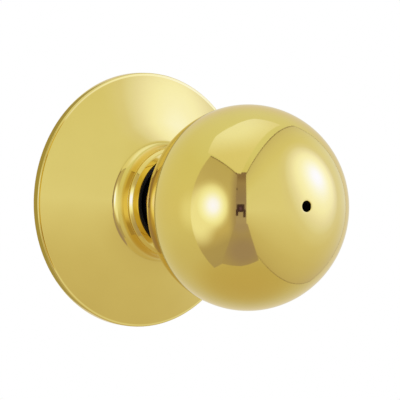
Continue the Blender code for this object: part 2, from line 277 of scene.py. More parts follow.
def turned_coordinates(nodes, links):
    """Object coordinates as (radius, height) so that detail runs round the axis."""
    coord = nodes.new("ShaderNodeTexCoord").outputs["Object"]
    split = nodes.new("ShaderNodeSeparateXYZ")
    links.new(coord, split.inputs[0])
    xx = math_node(nodes, links, "MULTIPLY", split.outputs["X"], split.outputs["X"])
    zz = math_node(nodes, links, "MULTIPLY", split.outputs["Z"], split.outputs["Z"])
    radius = math_node(nodes, links, "SQRT", math_node(nodes, links, "ADD", xx, zz))
    join = nodes.new("ShaderNodeCombineXYZ")
    links.new(radius, join.inputs["X"])
    links.new(split.outputs["Y"], join.inputs["Y"])
    return coord, join.outputs[0]


def polished_brass():
    mat, nodes, links, shader = new_material("polished_brass")
    coord, spun = turned_coordinates(nodes, links)
    shader.inputs["Metallic"].default_value = 1.0
    shader.inputs["Coat Weight"].default_value = 0.35
    shader.inputs["Coat Roughness"].default_value = 0.03
    shader.inputs["Coat IOR"].default_value = 1.45
    # alloy: faint clouds of colour under the lacquer
    cloud = noise(nodes, links, coord, 38.0, 3.0, 0.55)
    colour = ramp(nodes, links, cloud, [(0.30, (0.820, 0.618, 0.140)),
                                        (0.70, (0.866, 0.662, 0.158))])
    links.new(colour, shader.inputs["Base Color"])
    # buffing: faint rings from the polishing wheel and fine random hairlines
    rings = noise(nodes, links, spun, 900.0, 2.0, 0.6)
    stretch = nodes.new("ShaderNodeMapping")
    stretch.inputs["Scale"].default_value = (160.0, 2600.0, 900.0)
    stretch.inputs["Rotation"].default_value = (0.3, 0.5, 0.2)
    links.new(coord, stretch.inputs["Vector"])
    hair = noise(nodes, links, stretch.outputs[0], 1.0, 2.0, 0.5)
    worn = math_node(nodes, links, "ADD",
                     math_node(nodes, links, "MULTIPLY", rings, 0.5),
                     math_node(nodes, links, "MULTIPLY", hair, 0.5))
    rough = nodes.new("ShaderNodeMapRange")
    rough.inputs["From Min"].default_value = 0.3
    rough.inputs["From Max"].default_value = 0.7
    rough.inputs["To Min"].default_value = 0.030
    rough.inputs["To Max"].default_value = 0.075
    links.new(worn, rough.inputs["Value"])
    links.new(rough.outputs[0], shader.inputs["Roughness"])
    peel = noise(nodes, links, coord, 260.0, 2.0, 0.5)
    height = math_node(nodes, links, "ADD", peel,
                       math_node(nodes, links, "MULTIPLY", worn, 0.35))
    bump = nodes.new("ShaderNodeBump")
    bump.inputs["Strength"].default_value = 0.02
    bump.inputs["Distance"].default_value = 0.0001
    links.new(height, bump.inputs["Height"])
    links.new(bump.outputs[0], shader.inputs["Normal"])
    return mat


def plated_steel(name, dark, light, rough_low, rough_high, grain=420.0, tint=None):
    mat, nodes, links, shader = new_material(name)
    coord, spun = turned_coordinates(nodes, links)
    shader.inputs["Metallic"].default_value = 1.0
    cloud = noise(nodes, links, coord, 120.0, 4.0, 0.6)
    stops = [(0.25, dark), (0.75, light)]
    if tint is not None:
        stops = [(0.25, dark), (0.5, tint), (0.75, light)]
    links.new(ramp(nodes, links, cloud, stops), shader.inputs["Base Color"])
    lines = noise(nodes, links, spun, grain, 3.0, 0.6)
    fine = noise(nodes, links, coord, 2200.0, 2.0, 0.5)
    mixed = math_node(nodes, links, "ADD",
                      math_node(nodes, links, "MULTIPLY", lines, 0.6),
                      math_node(nodes, links, "MULTIPLY", fine, 0.4))
    rough = nodes.new("ShaderNodeMapRange")
    rough.inputs["From Min"].default_value = 0.3
    rough.inputs["From Max"].default_value = 0.7
    rough.inputs["To Min"].default_value = rough_low
    rough.inputs["To Max"].default_value = rough_high
    links.new(mixed, rough.inputs["Value"])
    links.new(rough.outputs[0], shader.inputs["Roughness"])
    bump = nodes.new("ShaderNodeBump")
    bump.inputs["Strength"].default_value = 0.25
    bump.inputs["Distance"].default_value = 0.0001
    links.new(mixed, bump.inputs["Height"])
    links.new(bump.outputs[0], shader.inputs["Normal"])
    return mat


def moulded_plastic(name, dark, light):
    mat, nodes, links, shader = new_material(name)
    coord, _ = turned_coordinates(nodes, links)
    cloud = noise(nodes, links, coord, 90.0, 3.0, 0.5)
    links.new(ramp(nodes, links, cloud, [(0.3, dark), (0.7, light)]),
              shader.inputs["Base Color"])
    grain = noise(nodes, links, coord, 3000.0, 2.0, 0.5)
    rough = nodes.new("ShaderNodeMapRange")
    rough.inputs["To Min"].default_value = 0.42
    rough.inputs["To Max"].default_value = 0.58
    links.new(grain, rough.inputs["Value"])
    links.new(rough.outputs[0], shader.inputs["Roughness"])
    bump = nodes.new("ShaderNodeBump")
    bump.inputs["Strength"].default_value = 0.3
    bump.inputs["Distance"].default_value = 0.00005
    links.new(grain, bump.inputs["Height"])
    links.new(bump.outputs[0], shader.inputs["Normal"])
    return mat


BRASS = polished_brass()
ZINC = plated_steel("zinc_steel", (0.50, 0.49, 0.46), (0.66, 0.65, 0.60), 0.24, 0.44,
                    tint=(0.61, 0.59, 0.50))
SPRING = plated_steel("spring_steel", (0.13, 0.13, 0.135), (0.24, 0.235, 0.23), 0.28, 0.48)
BRONZE = plated_steel("bearing_bronze", (0.42, 0.26, 0.12), (0.56, 0.37, 0.19), 0.30, 0.50)
OXIDE = plated_steel("black_steel", (0.035, 0.032, 0.032), (0.060, 0.055, 0.052), 0.35, 0.55)
BLACK = moulded_plastic("black_nylon", (0.014, 0.014, 0.015), (0.026, 0.026, 0.028))
WHITE = moulded_plastic("white_nylon", (0.70, 0.69, 0.64), (0.80, 0.79, 0.75))
SLOT_MATERIAL = {"polished_brass": BRASS, "zinc_steel": ZINC, "spring_steel": SPRING,
                 "bearing_bronze": BRONZE, "black_nylon": BLACK, "white_nylon": WHITE,
                 "black_steel": OXIDE}

for row in frame["record"]["subparts"]:
    node = frame["nodes"][row["node"]]
    node.data.materials.clear()
    node.data.materials.append(SLOT_MATERIAL[row["material_slot"]])

# ---- rose: one spun sheet ------------------------------------------------------------
SEG = 224
rose = rounded([
    (33.35, 0.0, 0.12), (33.35, 2.02, 0.42), (32.72, 2.06, 0.4), (32.0, 2.44),
], closed=False, steps=9)
rose += bezier((32.0, 2.44), (27.0, 5.06), (21.0, 7.80), 16)[1:]
rose += bezier((21.0, 7.80), (18.0, 9.15), (15.92, 10.29), 12)[1:]
rose += bezier((15.92, 10.29), (15.42, 10.57), (15.16, 11.00), 8)[1:]
rose += bezier((15.16, 11.00), (14.46, 12.12), (14.42, 13.70), 14)[1:]
rose += rounded([
    (14.41, 14.3), (14.40, 15.28, 0.07), (13.3, 15.28, 0.07), (13.3, 12.2, 0.5),
    (14.0, 10.4, 0.5), (14.6, 9.93, 0.4), (32.45, 1.22, 0.3), (32.45, 0.0, 0.1),
    (33.2, 0.0),
], closed=False, steps=9)[:-1]
stand_for(turned("rose_spun", rose, SEG, BRASS), "rose_set", "rose")

collar = rounded([
    (11.7, 8.5, 0.2), (13.0, 8.5, 0.2), (13.0, 15.3), (14.22, 15.3, 0.03),
    (14.18, 15.72, 0.35), (13.55, 16.46, 0.55), (12.20, 16.93, 0.15), (11.75, 16.80, 0.12),
], steps=9)
stand_for(turned("collar_ring_spun", collar, SEG, BRASS), "rose_set", "collar_ring")

# ---- ball: front shell and back cup ---------------------------------------------------
SEAM = 142.0
HOLE_R, HOLE_RISE, HOLE_BLEND = 1.4, 1.4, 14.0
EDGE = 0.16
SHEET = 1.0
BALL_SEG = 240


def surface_s(x, z, offset):
    across = (x * x + z * z) / (BALL_R - offset) ** 2
    return BALL_CENTRE + (BALL_B - offset) * math.sqrt(max(0.0, 1.0 - across))


def front_ring(bm, r, offset, sink=0.0, radius_for_s=None):
    """A ring on the front half of the ball; small rings are centred on the
    release hole, larger ones settle on the axis."""
    rise = 0.0
    if r < HOLE_BLEND:
        t = (HOLE_BLEND - r) / (HOLE_BLEND - HOLE_R)
        rise = HOLE_RISE * min(1.0, t)
    ring = []
    for i in range(BALL_SEG):
        a = 2.0 * math.pi * i / BALL_SEG
        x, z = r * math.cos(a), rise + r * math.sin(a)
        if radius_for_s is None:
            s = surface_s(x, z, offset)
        else:
            s = surface_s(radius_for_s * math.cos(a), rise + radius_for_s * math.sin(a), offset)
        ring.append(bm.verts.new((ORIGIN.x + x * MM, ORIGIN.y - (s - sink) * MM,
                                  ORIGIN.z + z * MM)))
    return ring


def plain_ring(bm, r, s):
    return [bm.verts.new(place(r, 2.0 * math.pi * i / BALL_SEG, s)) for i in range(BALL_SEG)]


bm = bmesh.new()
rings = []
outer_edge = HOLE_R + EDGE
for k in range(6):
    t = math.radians(90.0 * k / 6)
    rings.append(front_ring(bm, HOLE_R + EDGE * (1.0 - math.cos(t)), 0.0,
                            EDGE * (1.0 - math.sin(t)), outer_edge))
first = math.degrees(math.asin(outer_edge / BALL_R))
for k in range(72):
    rings.append(front_ring(bm, ball(0.0, first + (90.0 - first) * k / 72)[0], 0.0))
for k in range(43):
    rings.append(plain_ring(bm, *ball(0.0, 90.0 + (SEAM - 0.25 - 90.0) * k / 42)))
rings.append(plain_ring(bm, *ball(0.12, SEAM - 0.02)))
rings.append(plain_ring(bm, *ball(0.9, SEAM)))
for k in range(10):
    rings.append(plain_ring(bm, *ball(SHEET, SEAM - 0.2 + (90.0 - SEAM + 0.2) * k / 10)))
first = math.degrees(math.asin((HOLE_R + 0.1) / (BALL_R - SHEET)))
for k in range(19):
    rings.append(front_ring(bm, ball(SHEET, 90.0 + (first - 90.0) * k / 18)[0], SHEET))
rings.append(front_ring(bm, HOLE_R, SHEET, -0.1, HOLE_R))
for k, ring in enumerate(rings):
    other = rings[(k + 1) % len(rings)]
    for i in range(BALL_SEG):
        j = (i + 1) % BALL_SEG
        bm.faces.new((ring[i], ring[j], other[j], other[i]))
stand_for(finish_mesh("knob_shell_spun", bm, BRASS), "knob", "knob_shell")

NECK = 11.1
NECK_END = 18.9
blend = 146.0
back = bezier((NECK, 22.8), (NECK, 25.39), ball(0.0, blend), 16)
back = [(NECK - 0.16, NECK_END), (NECK - 0.04, NECK_END + 0.05), (NECK, NECK_END + 0.18)] + back
for k in range(1, 6):
    back.append(ball(0.0, blend + (SEAM + 0.42 - blend) * k / 5))
back += [ball(0.12, SEAM + 0.2), ball(1.35, SEAM + 0.2), ball(1.35, 136.0),
         ball(2.2, 136.0), ball(2.2, SEAM + 0.7)]
back += bezier(ball(1.0, blend), (NECK - 0.9, 26.0), (NECK - 0.9, 23.2), 8)
back += [(NECK - 0.9, NECK_END + 0.1), (NECK - 0.8, NECK_END)]
stand_for(turned("knob_back_spun", back, SEG, BRASS), "knob", "knob_back")

# ---- mechanism ---------------------------------------------------------------------------
SLOT = {row["node"]: row["material_slot"] for row in frame["record"]["subparts"]}


def refine(node, body, profile, seg=128, centre=(0.0, 0.0), steps=4):
    """A finely turned piece, its corners broken, that stands for a CAD node."""
    obj = turned(node + "_turned", rounded(profile, steps=steps), seg,
                 SLOT_MATERIAL[SLOT[node]], centre)
    return stand_for(obj, body, node)


def carve(obj, helpers):
    """Adds or cuts shapes, given as (object, operation), and keeps the result."""
    for helper, operation in helpers:
        mod = obj.modifiers.new(helper.name, "BOOLEAN")
        mod.operation = operation
        mod.object = helper
        mod.solver = "EXACT"
    bpy.context.view_layer.update()
    graph = bpy.context.evaluated_depsgraph_get()
    mesh = bpy.data.meshes.new_from_object(obj.evaluated_get(graph))
    obj.modifiers.clear()
    obj.data = mesh
    for helper, _ in helpers:
        bpy.data.objects.remove(helper, do_unlink=True)
    mesh.shade_smooth()
    mesh.set_sharp_from_angle(angle=math.radians(40.0))
    return obj


def block(x0, x1, s0, s1, z0, z1):
    bm = bmesh.new()
    bmesh.ops.create_cube(bm, size=1.0)
    for v in bm.verts:
        v.co = Vector((ORIGIN.x + (x0 if v.co.x < 0 else x1) * MM,
                       ORIGIN.y - (s0 if v.co.y < 0 else s1) * MM,
                       ORIGIN.z + (z0 if v.co.z < 0 else z1) * MM))
    return finish_mesh("helper_block", bm, None)


def plug(x, z, r, low, high, seg=48):
    return turned("helper_plug", [(0.0, low), (r, low), (r, high), (0.0, high)], seg, None,
                  (x, z))


# the bush's near-black face darkens the gap between the collar lip and the ball: partly the nylon's own
# colour, partly painted shade of that recess
refine("collar_bush", "rose_set", [(10.3, 8.5, 0.15), (11.4, 8.5, 0.15), (11.4, 15.9, 0.2),
                                   (10.3, 15.9, 0.2)])
refine("rose_liner", "rose_set", [(29.0, 0.0, 0.12), (32.1, 0.0, 0.12), (32.1, 1.03, 0.1),
                                  (29.0, 2.40, 0.1)], 192)
hub = refine("hub", "rose_set", [
    (9.6, -8.0, 0.15), (11.0, -8.0, 0.35), (11.0, -1.8, 0.12), (14.0, -1.8, 0.3),
    (14.0, -0.3, 0.1), (11.0, -0.3, 0.05), (11.0, 4.2, 0.2), (9.6, 4.2, 0.2)])
for node, low, high in (("hub_bush_front", 0.0, 4.0), ("hub_bush_rear", -7.8, -3.8)):
    refine(node, "rose_set", [(8.5, low, 0.12), (9.3, low, 0.12), (9.3, high, 0.12),
                              (8.5, high, 0.12)])

# pressed back plate, with the tab for the spring and two stops
plate = turned("mounting_plate_pressed", rounded([
    (11.3, 0.0, 0.12), (28.5, 0.0, 0.3), (28.5, 1.6, 0.12), (11.3, 1.6, 0.3)], steps=4),
    192, ZINC)
tab = swept_sector("helper_tab", [(14.4, 0.8), (15.4, 0.8), (15.4, 5.0), (14.4, 5.0)],
                   -97.0, -83.0, 8, None)
stops = [swept_sector("helper_stop_a", [(15.9, 0.8), (16.9, 0.8), (16.9, 6.4), (15.9, 6.4)],
                      first, first + 5.0, 4, None) for first in (19.0, 156.0)]
carve(plate, [(tab, "UNION"), (stops[0], "UNION"), (stops[1], "UNION"),
              (plug(0.0, 19.0, 2.6, -1.0, 3.0), "DIFFERENCE"),
              (plug(0.0, -19.0, 2.6, -1.0, 3.0), "DIFFERENCE"),
              (plug(-20.5, 0.0, 1.3, -1.0, 3.0), "DIFFERENCE"),
              (plug(20.5, 0.0, 1.3, -1.0, 3.0), "DIFFERENCE")])
stand_for(plate, "rose_set", "mounting_plate")

for node, x in (("cage_rivet_left", -20.5), ("cage_rivet_right", 20.5)):
    refine(node, "rose_set", [(0.0, 0.12), (0.92, 0.12, 0.1), (1.0, 0.35), (1.0, 2.9),
                              (1.9, 2.9, 0.1), (1.78, 3.35, 0.3), (1.1, 3.65, 0.6),
                              (0.0, 3.75)], 48, (x, 0.0))


def threaded_post(name, z):
    """A round post whose bore carries a real helical thread."""
    seg, pitch, deep = 72, 0.7, 0.26
    bm = bmesh.new()
    profile = rounded([(2.55, -25.0, 0.02), (3.5, -25.0, 0.3), (3.5, -0.3, 0.12),
                       (2.3, -0.3), (2.3, 1.6, 0.15), (0.0, 1.6)], closed=False, steps=4)
    inner = [(0.0, -7.0), (1.9, -7.6)]
    rows = []
    s = -7.8
    while s > -24.2:
        rows.append(s)
        s -= pitch / 9.0
    rings = []
    for r, s in reversed(profile):
        rings.append((r, s, 0.0))
    thread = [(2.0, s, deep) for s in reversed(rows)]
    rings = [(r, s, 0.0) for r, s in profile] + [(r, s, 0.0) for r, s in inner]
    rings += [(2.0, s, deep) for s in rows]
    made = []
    for r, s, wave in rings:
        if r < 1e-6:
            x, y, zz = place(0.0, 0.0, s)
            made.append([bm.verts.new((x, y, zz + z * MM))])
            continue
        ring = []
        for i in range(seg):
            a = 2.0 * math.pi * i / seg
            rr = r
            if wave > 0.0:
                turn = s / pitch + i / seg
                rr = r + wave * abs(2.0 * (turn - math.floor(turn)) - 1.0)
            x, y, zz = place(rr, a, s)
            ring.append(bm.verts.new((x, y, zz + z * MM)))
        made.append(ring)
    for k, ring in enumerate(made):
        other = made[(k + 1) % len(made)]
        if len(ring) == 1 and len(other) == 1:
            continue
        for i in range(seg):
            j = (i + 1) % seg
            if len(ring) == 1:
                bm.faces.new((ring[0], other[j], other[i]))
            elif len(other) == 1:
                bm.faces.new((ring[i], ring[j], other[0]))
            else:
                bm.faces.new((ring[i], ring[j], other[j], other[i]))
    return finish_mesh(name, bm, ZINC, 50.0)


stand_for(threaded_post("post_upper_threaded", 19.0), "rose_set", "post_upper")
stand_for(threaded_post("post_lower_threaded", -19.0), "rose_set", "post_lower")

refine("knob_support", "knob", [(10.2, 41.0, 0.15), (11.2, 41.0, 0.15), (11.2, 46.4, 0.1),
                                (24.9, 46.4, 0.15), (24.9, 47.4, 0.15), (10.2, 47.4, 0.15)])
# the shank's dark finish keeps the recess between the collar and the ball near black: partly the steel's own
# colour, partly painted shade of that recess
refine("knob_shank", "knob", [(8.5, 7.8, 0.15), (9.9, 7.8, 0.25), (9.9, 46.0, 0.2),
                              (8.5, 46.0, 0.2)])
refine("front_guide", "knob", [(1.5, 38.0, 0.1), (8.2, 38.0, 0.3), (8.2, 44.0, 0.3),
                               (3.8, 44.0, 0.3), (3.8, 71.1, 0.25), (2.6, 71.1, 0.15),
                               (2.6, 45.7), (1.5, 45.7, 0.1)], 96)
refine("spindle_sleeve", "knob", [(7.0, -10.3, 0.2), (8.2, -10.3, 0.25), (8.2, 34.0, 0.25),
                                  (7.0, 34.0, 0.25)])
refine("spindle_collar", "knob", [(4.2, -9.5, 0.25), (6.7, -9.5, 0.25), (6.7, 6.0, 0.25),
                                  (4.2, 6.0, 0.25)], 96)
refine("thrust_washer", "knob", [(8.5, 4.5, 0.08), (10.8, 4.5, 0.08), (10.8, 5.2, 0.08),
                                 (8.5, 5.2, 0.08)], 96)
spindle = turned("spindle_milled", rounded([
    (1.5, -38.0, 0.15), (3.9, -38.0, 0.5), (3.9, 14.0, 0.3), (1.5, 14.0, 0.15)], steps=4),
    128, ZINC)
carve(spindle, [(block(-6.0, 6.0, -44.0, -11.0, 2.3, 8.0), "DIFFERENCE")])
stand_for(spindle, "knob", "spindle")

# spring clips with broken edges
for node, body, r0, r1, s0, s1, seg in (
        ("retaining_ring", "knob", 8.5, 10.4, -9.3, -8.3, 96),
        ("rod_clip", "release", 1.45, 2.9, -39.2, -38.4, 48)):
    clip = swept_sector(node + "_sprung", rounded([
        (r0, s0, 0.15), (r1, s0, 0.15), (r1, s1, 0.15), (r0, s1, 0.15)], steps=3),
        110.0, 430.0, seg, SPRING)
    stand_for(clip, body, node)

refine("release_rod", "release", [(0.0, -41.0), (0.75, -41.0, 0.1), (1.15, -40.6, 0.1),
                                  (1.15, 61.1, 0.1), (0.0, 61.1)], 48)
refine("release_plunger", "release", [
    (0.0, 61.4), (1.45, 61.4), (1.45, 57.6, 0.08), (2.25, 57.6, 0.15), (2.25, 67.0, 0.15),
    (1.75, 67.0, 0.1), (0.0, 65.4)], 64)


def sprung_wire(name, path, radius, sides, mat):
    """Round spring wire along (x, z, s) points, with slightly domed ends."""
    points = [Vector((ORIGIN.x + x * MM, ORIGIN.y - s * MM, ORIGIN.z + z * MM))
              for x, z, s in path]
    bm = bmesh.new()
    side = None
    rings = []
    for i, point in enumerate(points):
        tangent = (points[min(i + 1, len(points) - 1)] - points[max(i - 1, 0)]).normalized()
        if side is None:
            side = tangent.orthogonal().normalized()
        side = (side - tangent * side.dot(tangent)).normalized()
        other = tangent.cross(side)
        for shrink in ((0.75, 1.0) if i == 0 else (1.0, 0.75) if i == len(points) - 1
                       else (1.0,)):
            shift = 0.0
            if shrink < 1.0:
                shift = 0.25 * radius * MM * (-1.0 if i == 0 else 1.0)
            rings.append([bm.verts.new(point + tangent * shift + (
                side * math.cos(2.0 * math.pi * k / sides)
                + other * math.sin(2.0 * math.pi * k / sides)) * (radius * shrink * MM))
                for k in range(sides)])
    for ring, following in zip(rings, rings[1:]):
        for k in range(sides):
            j = (k + 1) % sides
            bm.faces.new((ring[k], ring[j], following[j], following[k]))
    bm.faces.new(list(reversed(rings[0])))
    bm.faces.new(rings[-1])
    return finish_mesh(name, bm, mat, 60.0)


leg = math.degrees(math.asin(2.95 / 15.0))
first, last = -90.0 + leg, -90.0 + 720.0 - leg
turn_in = math.degrees(1.4 / 13.0)
path = []


def leg_points(angle, sign, s):
    out = [(17.0, angle), (15.6, angle)]
    for k in range(8):
        t = (k + 0.5) / 8 * 0.5 * math.pi
        out.append((13.0 + 1.2 * (1.0 - math.sin(t)),
                    angle + sign * math.degrees(1.2 * (1.0 - math.cos(t)) / 13.0)))
    return [(r * math.cos(math.radians(a)), r * math.sin(math.radians(a)), s) for r, a in out]


path += leg_points(first, 1.0, 2.5)
for i in range(181):
    t = i / 180
    a = math.radians(first + turn_in + (last - first - 2.0 * turn_in) * t)
    path.append((13.0 * math.cos(a), 13.0 * math.sin(a), 2.5 + 2.1 * t))
path += list(reversed(leg_points(last, -1.0, 4.6)))
stand_for(sprung_wire("return_spring_wound", path, 0.5, 12, SPRING), "rose_set",
          "return_spring")
path = []
for i in range(6 * 32 + 1):
    t = i / (6 * 32)
    a = 2.0 * math.pi * 6 * t
    path.append((1.95 * math.cos(a), 1.95 * math.sin(a), 46.25 + 10.8 * t))
coil = sprung_wire("release_spring_wound", path, 0.2, 10, SPRING)
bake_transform(coil)
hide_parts("release_spring")

# ---- studio -----------------------------------------------------------------------------
CAMERA_AZ, CAMERA_EL, CAMERA_FAR = -35.925, 3.008, 1.2
az, el = math.radians(CAMERA_AZ), math.radians(CAMERA_EL)
back_dir = Vector((math.sin(az) * math.cos(el), -math.cos(az) * math.cos(el), math.sin(el)))
right_dir = Vector((math.cos(az), math.sin(az), 0.0))
up_dir = back_dir.cross(right_dir)
camera_data = bpy.data.cameras.new("camera")
camera = bpy.data.objects.new("camera", camera_data)
scene.collection.objects.link(camera)
camera.location = ORIGIN + back_dir * CAMERA_FAR + right_dir * 0.016018 - up_dir * 0.000098
camera.rotation_mode = "QUATERNION"
camera.rotation_quaternion = (-back_dir).to_track_quat("-Z", "Y")
camera_data.sensor_width = 36.0
camera_data.lens = 36.0 * 3803.4 * CAMERA_FAR / 400.0
camera_data.clip_start, camera_data.clip_end = 0.1, 50.0
scene.camera = camera

LEVEL = 0.703


def towards(azimuth, elevation):
    """Direction by azimuth from the camera's side, and elevation, in degrees."""
    a = math.radians(azimuth + CAMERA_AZ)
    e = math.radians(elevation)
    return Vector((math.sin(a) * math.cos(e), -math.cos(a) * math.cos(e), math.sin(e)))


def emission_material(name):
    mat = bpy.data.materials.new(name)
    mat.use_nodes = True
    nodes, links = mat.node_tree.nodes, mat.node_tree.links
    nodes.clear()
    out = nodes.new("ShaderNodeOutputMaterial")
    emit = nodes.new("ShaderNodeEmission")
    links.new(emit.outputs[0], out.inputs["Surface"])
    return mat, nodes, links, emit


def card(name, azimuth, distance, left, right, bottom, top, build):
    """An upright reflection card: edges in units of its distance."""
    out = towards(azimuth, 0.0)
    side = towards(azimuth + 90.0, 0.0)
    bm = bmesh.new()
    corners = [(left, bottom), (right, bottom), (right, top), (left, top)]
    bm.faces.new([bm.verts.new((u, v, 0.0)) for u, v in corners])
    mesh = bpy.data.meshes.new(name)
    bm.to_mesh(mesh)
    bm.free()
    obj = bpy.data.objects.new(name, mesh)
    scene.collection.objects.link(obj)
    obj.matrix_world = Matrix((
        (side.x * distance, 0.0, out.x * distance, BALL.x + out.x * distance),
        (side.y * distance, 0.0, out.y * distance, BALL.y + out.y * distance),
        (side.z * distance, distance, out.z * distance, BALL.z + out.z * distance),
        (0.0, 0.0, 0.0, 1.0)))
    mat, nodes, links, emit = emission_material(name)
    coord = nodes.new("ShaderNodeTexCoord").outputs["Object"]
    split = nodes.new("ShaderNodeSeparateXYZ")
    links.new(coord, split.inputs[0])
    colour = build(nodes, links, split.outputs["X"], split.outputs["Y"])
    links.new(colour, emit.inputs["Color"])
    emit.inputs["Strength"].default_value = LEVEL
    mesh.materials.append(mat)
    obj.visible_camera = False
    return obj


def uv_of(centre_az, azimuth, elevation):
    """Where a direction meets a card, in units of the card's distance."""
    d = math.radians(azimuth - centre_az)
    return math.tan(d), math.tan(math.radians(elevation)) / math.cos(d)


def distance_from(nodes, links, u, v, centre, size):
    du = math_node(nodes, links, "MULTIPLY", math_node(nodes, links, "SUBTRACT", u, centre[0]), 1.0 / size[0])
    dv = math_node(nodes, links, "MULTIPLY", math_node(nodes, links, "SUBTRACT", v, centre[1]), 1.0 / size[1])
    return math_node(nodes, links, "SQRT", math_node(
        nodes, links, "ADD", math_node(nodes, links, "MULTIPLY", du, du),
        math_node(nodes, links, "MULTIPLY", dv, dv)))


def mix(nodes, links, fac, a, b, blend_type="MIX"):
    node = nodes.new("ShaderNodeMix")
    node.data_type = "RGBA"
    node.blend_type = blend_type
    node.clamp_factor = True
    sockets = [s for s in node.inputs if s.type == "RGBA"]
    for socket, value in zip(sockets, (a, b)):
        if isinstance(value, tuple):
            socket.default_value = (*value, 1.0)
        else:
            links.new(value, socket)
    fac_socket = [s for s in node.inputs if s.type == "VALUE"][0]
    if isinstance(fac, (int, float)):
        fac_socket.default_value = fac
    else:
        links.new(fac, fac_socket)
    return [s for s in node.outputs if s.type == "RGBA"][0]


def edge_mask(nodes, links, u, v, left, right, bottom, top, width):
    """1 in a thin frame along the card's edges, 0 inside."""
    a = math_node(nodes, links, "MINIMUM",
                  math_node(nodes, links, "SUBTRACT", u, left),
                  math_node(nodes, links, "SUBTRACT", right, u))
    b = math_node(nodes, links, "MINIMUM",
                  math_node(nodes, links, "SUBTRACT", v, bottom),
                  math_node(nodes, links, "SUBTRACT", top, v))
    inside = math_node(nodes, links, "MINIMUM", a, b)
    node = nodes.new("ShaderNodeMapRange")
    node.interpolation_type = "SMOOTHSTEP"
    node.inputs["From Min"].default_value = width * 0.4
    node.inputs["From Max"].default_value = width
    node.inputs["To Min"].default_value = 1.0
    node.inputs["To Max"].default_value = 0.0
    links.new(inside, node.inputs["Value"])
    return node.outputs[0]


def along(nodes, links, value, low, high, stops):
    """A colour ramp over a distance on the card, its stops given in that distance."""
    span = nodes.new("ShaderNodeMapRange")
    span.inputs["From Min"].default_value = low
    span.inputs["From Max"].default_value = high
    links.new(value, span.inputs["Value"])
    return ramp(nodes, links, span.outputs[0],
                [((at - low) / (high - low), colour) for at, colour in stops])


def smooth(nodes, links, value, low, high):
    node = nodes.new("ShaderNodeMapRange")
    node.interpolation_type = "SMOOTHSTEP"
    node.inputs["From Min"].default_value = low
    node.inputs["From Max"].default_value = high
    links.new(value, node.inputs["Value"])
    return node.outputs[0]


# The tints a bright white takes as it burns out on brass: the blue climbs last.
GLOW = [(0.00, (1.66, 2.12, 8.4)), (0.12, (1.65, 2.10, 7.8)), (0.26, (1.64, 2.05, 5.8)),
        (0.36, (1.63, 1.99, 4.7)), (0.45, (1.60, 1.91, 3.9)), (0.56, (1.56, 1.84, 3.4)),
        (0.66, (1.45, 1.66, 3.0)), (0.75, (1.34, 1.50, 2.6)), (0.84, (1.26, 1.41, 2.2)),
        (0.95, (1.18, 1.27, 1.7))]
WARM_GLOW = [(0.00, (1.66, 2.08, 8.0)), (0.20, (1.65, 2.06, 7.0)), (0.35, (1.62, 1.98, 4.8)),
             (0.50, (1.56, 1.86, 3.2)), (0.62, (1.48, 1.72, 2.5)), (0.76, (1.32, 1.46, 1.9)),
             (0.90, (1.16, 1.22, 1.45))]

# right card: a large flat panel lit from behind
R_EDGES = (-3.08, 2.95, -2.05, 2.6)


def right_card(nodes, links, u, v):
    base = along(nodes, links, v, -1.9, 2.6, [
        (-1.9, (0.86, 0.81, 0.77)), (-1.0, (0.98, 0.97, 0.96)), (-0.45, (1.10, 1.14, 1.26)),
        (0.0, (1.20, 1.30, 1.58)), (0.9, (1.17, 1.27, 1.45)), (1.4, (1.12, 1.19, 1.22)),
        (2.6, (0.96, 0.98, 1.05))])
    glow = distance_from(nodes, links, u, v, (0.33, 0.42), (0.86, 0.86))
    lit = ramp(nodes, links, glow, GLOW)
    colour = mix(nodes, links, smooth(nodes, links, glow, 1.25, 0.85), base, lit)
    mask = edge_mask(nodes, links, u, v, -9.0, R_EDGES[1], R_EDGES[2], R_EDGES[3], 0.12)
    return mix(nodes, links, mask, colour, (0.34, 0.26, 0.28))


card("card_right", 76.0, 0.45, *R_EDGES, right_card)

# left card: a window of light
L_EDGES = (0.0, 1.40, -1.72, 1.36)


def left_card(nodes, links, u, v):
    window = along(nodes, links, v, -1.7, 1.4, [
        (-1.7, (0.66, 0.60, 0.66)), (-0.9, (0.69, 0.63, 0.64)), (-0.5, (0.90, 0.84, 0.78)),
        (0.3, (0.96, 0.94, 0.96)), (0.8, (0.87, 0.84, 0.83)), (1.3, (0.84, 0.81, 0.74))])
    glow = distance_from(nodes, links, u, v, (0.55, 0.09), (0.60, 0.57))
    lit = ramp(nodes, links, glow, WARM_GLOW)
    window = mix(nodes, links, smooth(nodes, links, glow, 1.12, 0.66), window, lit)
    # the light spills down the near side
    spill = distance_from(nodes, links, u, v, (0.18, -0.16), (0.46, 0.56))
    window = mix(nodes, links, smooth(nodes, links, spill, 1.2, 0.30), window,
                 (1.42, 1.60, 2.2), "LIGHTEN")
    window = mix(nodes, links, smooth(nodes, links, u, 0.95, 1.40), window, (0.62, 0.55, 0.66))
    mask = edge_mask(nodes, links, u, v, -9.0, 9.0, -9.0, L_EDGES[3], 0.06)
    return mix(nodes, links, mask, window, (0.36, 0.27, 0.28))


card("card_left", -62.0, 0.5, *L_EDGES, left_card)


# between them: the dark slot that the camera looks through
def slot_card(nodes, links, u, v):
    return along(nodes, links, v, -1.2, 0.85, [
        (-1.2, (0.56, 0.48, 0.72)), (-0.5, (0.61, 0.52, 0.78)), (-0.17, (0.66, 0.60, 0.85)),
        (0.2, (0.48, 0.41, 0.60)), (0.55, (0.52, 0.44, 0.50)), (0.72, (0.40, 0.31, 0.34)),
        (0.85, (0.40, 0.31, 0.40))])


card("card_slot", -2.0, 1.5, -0.16, 0.13, -1.7, 0.86, slot_card)


def camera_card(nodes, links, u, v):
    d = distance_from(nodes, links, u, v, (0.0, 0.03), (0.09, 0.11))
    return ramp(nodes, links, d, [(0.0, (0.22, 0.12, 0.46)), (0.45, (0.08, 0.05, 0.11)),
                                  (1.0, (0.14, 0.09, 0.15))])


